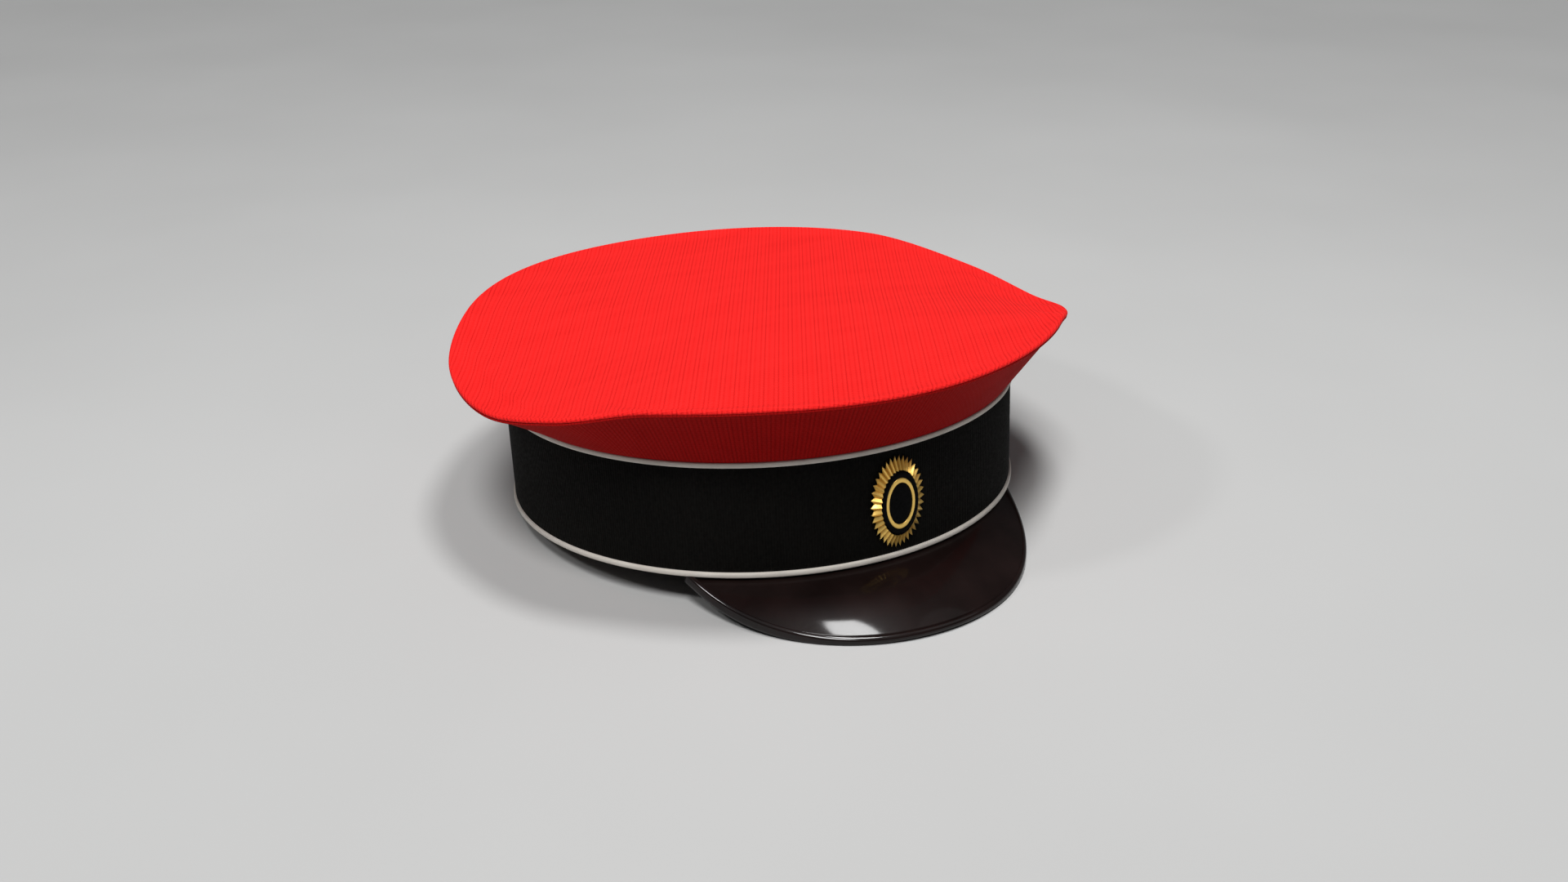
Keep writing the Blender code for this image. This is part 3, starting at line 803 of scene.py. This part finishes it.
def make_front_padding():
    """Felt pad behind the front panel, quilted in three channels."""
    foot, channel = 0.30, 0.12
    behind, swell = 3.0, 0.35
    rows = []
    for rise in spread(0.66, foot, 16):
        row = []
        for angle in spread(-40.0, 40.0, 90):
            quilt = abs(math.sin(math.pi * (rise - foot) / channel))
            row.append(panel_point(angle, rise) - outward(angle) * (behind - swell * quilt) * MM)
        rows.append(row)
    pad = add_layer("front_padding_felt", rows, surface_places(rows), (-1.2, 0.0),
                    "felt", "front_padding")


# Band --------------------------------------------------------------------------------------------

def make_band():
    """Ribbed cloth round the band, with its own ribs, and the two pipings."""
    per_rib = 4
    count = BAND_RIBS * per_rib
    levels = ((BAND_H - 0.3, 0.35), (BAND_H - 1.2, 0.0), (BAND_H - 6.0, 0.0), (BAND_H / 2, 0.0),
              (6.0, 0.0), (1.2, 0.0), (0.3, 0.35))
    rows = []
    for height, tuck in levels:
        row = []
        for i in range(count + 1):
            angle = -180.0 + 360.0 * i / count
            rib = RIB_DEPTH * (math.cos(2 * math.pi * i / per_rib) - 1.0)
            seam = BAND_SEAM_DEPTH * (1.0 - ease(0.0, 0.5, 180.0 - abs(angle)))
            row.append(around(angle, CLOTH_OUTER + rib - tuck - seam, height))
        rows.append(row)
    cloth = add_piece("band_ribbed_cloth", grid_mesh("band_ribbed_cloth", rows,
                                                     surface_places(rows)),
                      "black_ribbed_cloth", ["band_cloth"])
    thicken(cloth, -1.0, 0.0).use_even_offset = False
    for name, height in (("piping_upper", BAND_H), ("piping_lower", 0.0)):
        def path(angle, height=height):
            return BAND_R, height
        profile = rounded_profile(CORD_HALF_W, PIPING_R, CORD_POWER)
        mesh = swept_ring(name + "_cord", path, profile)
        add_piece(name + "_cord", mesh, "white_cord", [name])


# Visor -------------------------------------------------------------------------------------------

def visor_edge_frame(angle):
    """At the visor's edge: its centre, the way out and the way up, square to the edge."""
    centre = visor_point(angle, 1.0)
    tangent = (visor_point(angle + 0.2, 1.0) - visor_point(angle - 0.2, 1.0)).normalized()
    inwards = visor_point(angle, 0.9) - centre
    up = tangent.cross(inwards).normalized()
    up = up if up.z > 0 else -up
    out = up.cross(tangent).normalized()
    out = out if out.dot(inwards) < 0 else -out
    return centre, out, up


def make_visor():
    """Patent top face, leather underside, and the lip of patent leather turned down round them."""
    angles = spread(-LAYER_HALF_ANGLE, LAYER_HALF_ANGLE, 130)
    inner = 1.0 - 1.0 / VISOR_REACH
    layers = (
        ("visor_patent_shell", "patent_leather", "visor_shell", visor_crest_point, SHELL_DEPTHS),
        ("visor_underside", "visor_underside_leather", "visor_lining", visor_point,
         LINING_DEPTHS),
    )
    for name, slot, node, point_at, depths in layers:
        rows = [[point_at(angle, out) for angle in angles] for out in spread(0.0, inner, 34)]
        add_layer(name, rows, surface_places(rows), depths, slot, node)
    rim_rows = []
    for out, up in [*LIP_PROFILE, LIP_PROFILE[0]]:
        row = []
        for angle in spread(-LIP_HALF_ANGLE, LIP_HALF_ANGLE, 150):
            centre, outwards, upwards = visor_edge_frame(angle)
            lift = lip_lift(angle) * ease(-0.4, 0.7, up)
            row.append(centre + (outwards * out + upwards * up + Vector((0.0, 0.0, lift))) * MM)
        rim_rows.append(row)
    rim = grid_mesh("visor_binding", rim_rows, surface_places(rim_rows), caps=True)
    add_piece("visor_binding", rim, "patent_leather", ["visor_rim"], material=LIP_PATENT)


# Cockade -----------------------------------------------------------------------------------------

def oval_point(turn, radius, height, squash=RING_SQUASH):
    """Point of the cockade's frame: its tall axis is Y, and Z points out from the band."""
    return Vector((radius * squash * math.sin(turn), -radius * math.cos(turn), height)) * MM


def make_sunburst():
    """Pleated petals: each is a gable that runs from the black ring down to a sharp tip."""
    root_r = 12.2
    flange_z = 1.6
    ridge_z, valley_z = (2.85, 0.85), (2.15, 0.60)     # at the root and at the end
    unevenness = 0.5
    pleat = ((0.0, 0.0), (0.25, 0.5), (0.5, 1.0), (0.75, 0.5))
    columns = []
    for petal in range(PETALS):
        for across, ridge in pleat:
            columns.append((2 * math.pi * (petal + across) / PETALS, ridge, petal))
    columns.append((2 * math.pi, 0.0, 0))
    rows, places = [], []
    for radius in (11.0, 12.0):
        rows.append([oval_point(turn, radius, flange_z) for turn, _, _ in columns])
        # The flange under the petals sits low on the gilt's painted-shade scale.
        places.append([(turn, 0.2) for turn, _, _ in columns])
    for share in (0.0, 0.2, 0.45, 0.7, 0.9, 1.0):
        row, spots = [], []
        for turn, ridge, petal in columns:
            uneven = unevenness * noise.noise(Vector((petal * 1.7, 4.0, 0.0))) * ridge
            end_r = PETAL_NOTCH_R + (PETAL_TIP_R - PETAL_NOTCH_R) * ridge + uneven
            radius = root_r + (end_r - root_r) * share
            root_z, end_z = (low + (high - low) * ridge for low, high in zip(valley_z, ridge_z))
            height = root_z + (end_z - root_z) * share
            squash = RING_SQUASH + (PETAL_SQUASH - RING_SQUASH) * share
            row.append(oval_point(turn, radius, height, squash))
            # The second place runs from the pleats' bottoms to the ridges; the gilt paints shade
            # from it.
            spots.append((turn, 0.25 + 0.75 * ridge))
        rows.append(row)
        places.append(spots)
    mesh = grid_mesh("cockade_sunburst", rows, places)
    mesh.set_sharp_from_angle(angle=math.radians(12))
    burst = add_piece("cockade_sunburst", mesh, "gilt", ["cockade_rim"], COCKADE)
    thicken(burst, -0.28, 0.0).use_even_offset = False


def make_dish(name, node, slot, outline):
    """Oval turned dish from (radius, height) points that run round its section."""
    count = 96
    rows = [[oval_point(2 * math.pi * i / count, radius, height) for i in range(count + 1)]
            for radius, height in outline]
    # 0.75 is the gold oval's place on the gilt's painted-shade scale; the enamel does not read it.
    places = [[(i / count, 0.75) for i in range(count + 1)] for _ in outline]
    mesh = grid_mesh(name, rows, places)
    mesh.set_sharp_from_angle(angle=math.radians(50))
    add_piece(name, mesh, slot, [node], COCKADE)


def make_cockade():
    """Sunburst, and the black oval, gold oval and black boss in its middle."""
    make_sunburst()
    make_dish("cockade_black_oval", "cockade_black_ring", "black_enamel",
              ((8.7, 2.0), (8.7, 2.6), (9.6, 2.6), (9.7, 2.95), (9.9, 3.02), (11.5, 3.0),
               (11.9, 2.85), (12.0, 2.6), (12.0, 1.95), (8.7, 2.0)))
    make_dish("cockade_gold_oval", "cockade_gold_ring", "gilt",
              ((7.75, 2.8), (7.75, 3.02), (7.85, 3.12), (8.1, 3.16), (8.6, 3.17), (9.1, 3.15),
               (9.4, 3.10), (9.5, 3.00), (9.5, 2.8), (7.75, 2.8)))
    make_dish("cockade_black_boss", "cockade_centre", "black_enamel",
              ((0.0, 1.2), (0.0, 3.0), (2.0, 2.99), (4.0, 2.94), (6.0, 2.86), (7.6, 2.78),
               (8.2, 2.6), (8.2, 1.2), (0.0, 1.2)))


# Inside ------------------------------------------------------------------------------------------

def lining_corner(angle):
    """Radius and height where the side lining meets the top lining."""
    radius = crown_edge(angle)[0] - LINING_INSET
    return radius, crown_top_height(angle, radius) - LINING_DROP


def lined_top_point(angle, radius, below):
    """Point that hangs below the top cloth, sagging most half way out."""
    share = radius / lining_corner(angle)[0]
    sag = 2.2 * (1.0 - share**2)
    point = around(angle, radius, crown_top_height(angle, radius) - LINING_DROP - below - sag)
    point.z += 0.6 * MM * wobble(point, 0.03, 5.0) * (1.0 - ease(0.8, 1.0, share))
    return point


def make_side_lining():
    """Side lining, gathered into the top lining's edge and tucked behind the sweatband."""
    foot = Vector((STIFFENER_INNER - 0.2, SWEATBAND_TOP - 5.0))
    shoulder = Vector((STIFFENER_INNER - 0.2, BAND_H - 0.6))
    tucked = 0.2                         # share of its height that lies against the band
    gathers, gather_depth = 80.0, 0.4
    rows = []
    for share in spread(1.0, 0.0, 18):
        row = []
        for angle in spread(-180.0, 180.0, 960):
            free = max(0.0, share - tucked) / (1.0 - tucked)
            corner = Vector(lining_corner(angle)) - Vector((0.0, 0.4))
            upper = shoulder.lerp(corner, free)
            spot = upper if share > tucked else foot.lerp(shoulder, share / tucked)
            gather = gather_depth * math.sin(math.radians(angle * gathers)) * ease(0.3, 1.0, share)
            uneven = 0.8 * wobble(around(angle, 100.0, 0.0), 0.02, 2.0) * ease(0.2, 0.7, share)
            belly = -1.4 * math.sin(math.pi * free)
            row.append(around(angle, spot.x + belly + gather + uneven, spot.y))
        rows.append(row)
    side = add_layer("lining_side_satin", rows, surface_places(rows), (-0.35, 0.0),
                     "satin", "crown_lining_side")


def make_top_lining():
    """Round of satin that hangs under the crown, sewn into the side lining's edge."""
    def point_at(angle, share):
        return lined_top_point(angle, share * (lining_corner(angle)[0] + 0.3), 0.0)

    rows = disc_rows(90, point_at)
    top = add_layer("lining_top_satin", rows, flat_places(rows), (-0.4, 0.0),
                    "satin", "crown_lining_top")


def shield_reach(angle):
    """Radius of the rounded diamond."""
    turn = math.radians(angle)
    reach = abs(math.sin(turn))**SHIELD_POWER + abs(math.cos(turn))**SHIELD_POWER
    return SHIELD_HALF / reach ** (1 / SHIELD_POWER)


def make_sweat_shield():
    """Rounded diamond patch under the top lining, stitched along its border."""
    rows = disc_rows(48, lambda angle, share: lined_top_point(angle, share * shield_reach(angle),
                                                              0.9))
    add_layer("sweat_shield_patch", rows, flat_places(rows), (-0.3, 0.0),
              "celluloid", "sweat_shield")
    stitches = []
    for angle in spread(-180.0, 177.0, 119):
        here = lined_top_point(angle, shield_reach(angle) - 2.5, 1.2)
        ahead = lined_top_point(angle + 1.0, shield_reach(angle + 1.0) - 2.5, 1.2)
        stitches.append((here, (ahead - here).normalized()))
    add_stitches("sweat_shield_stitching", stitches, "satin")


def make_sweatband():
    """Leather band, open at the back over its tape, sewn to its reed along the foot."""
    foot = 0.7
    half_slit = 0.45
    angles = spread(-180.0 + half_slit, 180.0 - half_slit, 360)
    rows = []
    for share in spread(0.0, 1.0, 16):
        height = SWEATBAND_TOP + (foot - SWEATBAND_TOP) * share
        row = []
        for angle in angles:
            wave = abs(wobble(around(angle, SWEATBAND_OUTER, height), 0.03, 7.0))
            lean_in = 0.6 * (1.0 - share) ** 2 + 0.3 * wave * (1.0 - share)
            row.append(around(angle, SWEATBAND_OUTER - lean_in, height))
        rows.append(row)
    add_layer("sweatband_leather", rows, surface_places(rows), (-1.1, 0.0),
              "leather", "sweatband")
    reed = swept_ring("sweatband_foot_reed", lambda angle: (SWEATBAND_OUTER, -0.2),
                      rounded_profile(0.75, 0.75, 2.0, 12))
    add_piece("sweatband_foot_reed", reed, "leather", ["sweatband_reed"])
    stitches = []
    for angle in spread(-178.5, 178.5, 208):
        stitches.append((around(angle, SWEATBAND_OUTER - 1.15, 3.2), outward(angle + 90.0)))
    add_stitches("sweatband_stitching", stitches, "leather")
    tape_rows = [[around(180.0 + angle, SWEATBAND_OUTER + 0.7, height)
                  for angle in spread(-5.4, 5.4, 24)] for height in spread(34.0, 3.0, 40)]
    tape = add_layer("sweatband_back_tape", tape_rows, surface_places(tape_rows), (-0.35, 0.0),
                     "tape", "sweatband_tape")


def finish_frame_nodes():
    """Gives every CAD node that still shows its slot's material."""
    slots = {part["node"]: part["material_slot"] for part in frame["record"]["subparts"]}
    for name, node in frame["nodes"].items():
        if not node.hide_render:
            node.data.materials.clear()
            node.data.materials.append(FINISH[slots[name]])


# Stage -------------------------------------------------------------------------------------------

def make_stage():
    """Plain pale floor, wide enough to reach the horizon."""
    bpy.ops.mesh.primitive_plane_add(size=FLOOR_SIZE, location=(0.0, 0.0, 0.0))
    floor = bpy.context.object
    floor.name = "floor"
    graph = Graph("pale_floor", 0.75, Specular_IOR_Level=0.25)
    tone = graph.noise(0.25, 3.0)
    floor.data.materials.append(graph.finish(
        graph.tint(tone, 0.3, 0.7, (0.475, 0.475, 0.47), (0.495, 0.495, 0.49)),
        graph.bump(graph.noise(0.002, 3.0), 0.00005, 0.3),
        graph.level(tone, 0.3, 0.7, 0.7, 0.8)))


def add_light(lamp, place):
    """Stands a light at a place and points it at the cap."""
    obj = bpy.data.objects.new(lamp.name, lamp)
    bpy.context.scene.collection.objects.link(obj)
    obj.location = place
    obj.rotation_euler = (Vector(LIT_POINT) - Vector(place)).to_track_quat("-Z", "Y").to_euler()


def make_light():
    """Broad light from the front, small lamps overhead and at the sides, faint room light."""
    front = bpy.data.lights.new("front_light", "SUN")
    front.energy = FRONT_LIGHT_STRENGTH
    front.angle = math.radians(FRONT_LIGHT_WIDTH)
    add_light(front, FRONT_LIGHT_PLACE)
    for name, place, size, power in LAMPS:
        lamp = bpy.data.lights.new(name, "AREA")
        lamp.shape = "DISK"
        lamp.size = size
        lamp.energy = power
        add_light(lamp, place)
    world = bpy.data.worlds.new("studio")
    bpy.context.scene.world = world
    world.use_nodes = True
    background = world.node_tree.nodes["Background"]
    background.inputs["Color"].default_value = ROOM_COLOUR
    background.inputs["Strength"].default_value = ROOM_STRENGTH
    bpy.context.scene.view_settings.view_transform = "Standard"


def make_camera():
    """Camera above the front of the cap, off to the wearer's right."""
    camera = bpy.data.objects.new("camera", bpy.data.cameras.new("camera"))
    bpy.context.scene.collection.objects.link(camera)
    camera.data.lens = CAMERA_LENS
    camera.data.sensor_width = 36.0
    camera.data.clip_start = 0.01
    camera.location = CAMERA_PLACE
    camera.rotation_euler = [math.radians(turn) for turn in CAMERA_TURN]
    bpy.context.scene.camera = camera


make_camera()
make_stage()
make_light()
make_crown_top()
make_crown_welt()
make_crown_panels()
make_front_padding()
make_band()
make_visor()
make_cockade()
make_side_lining()
make_top_lining()
make_sweat_shield()
make_sweatband()
finish_frame_nodes()

bpy.context.view_layer.update()
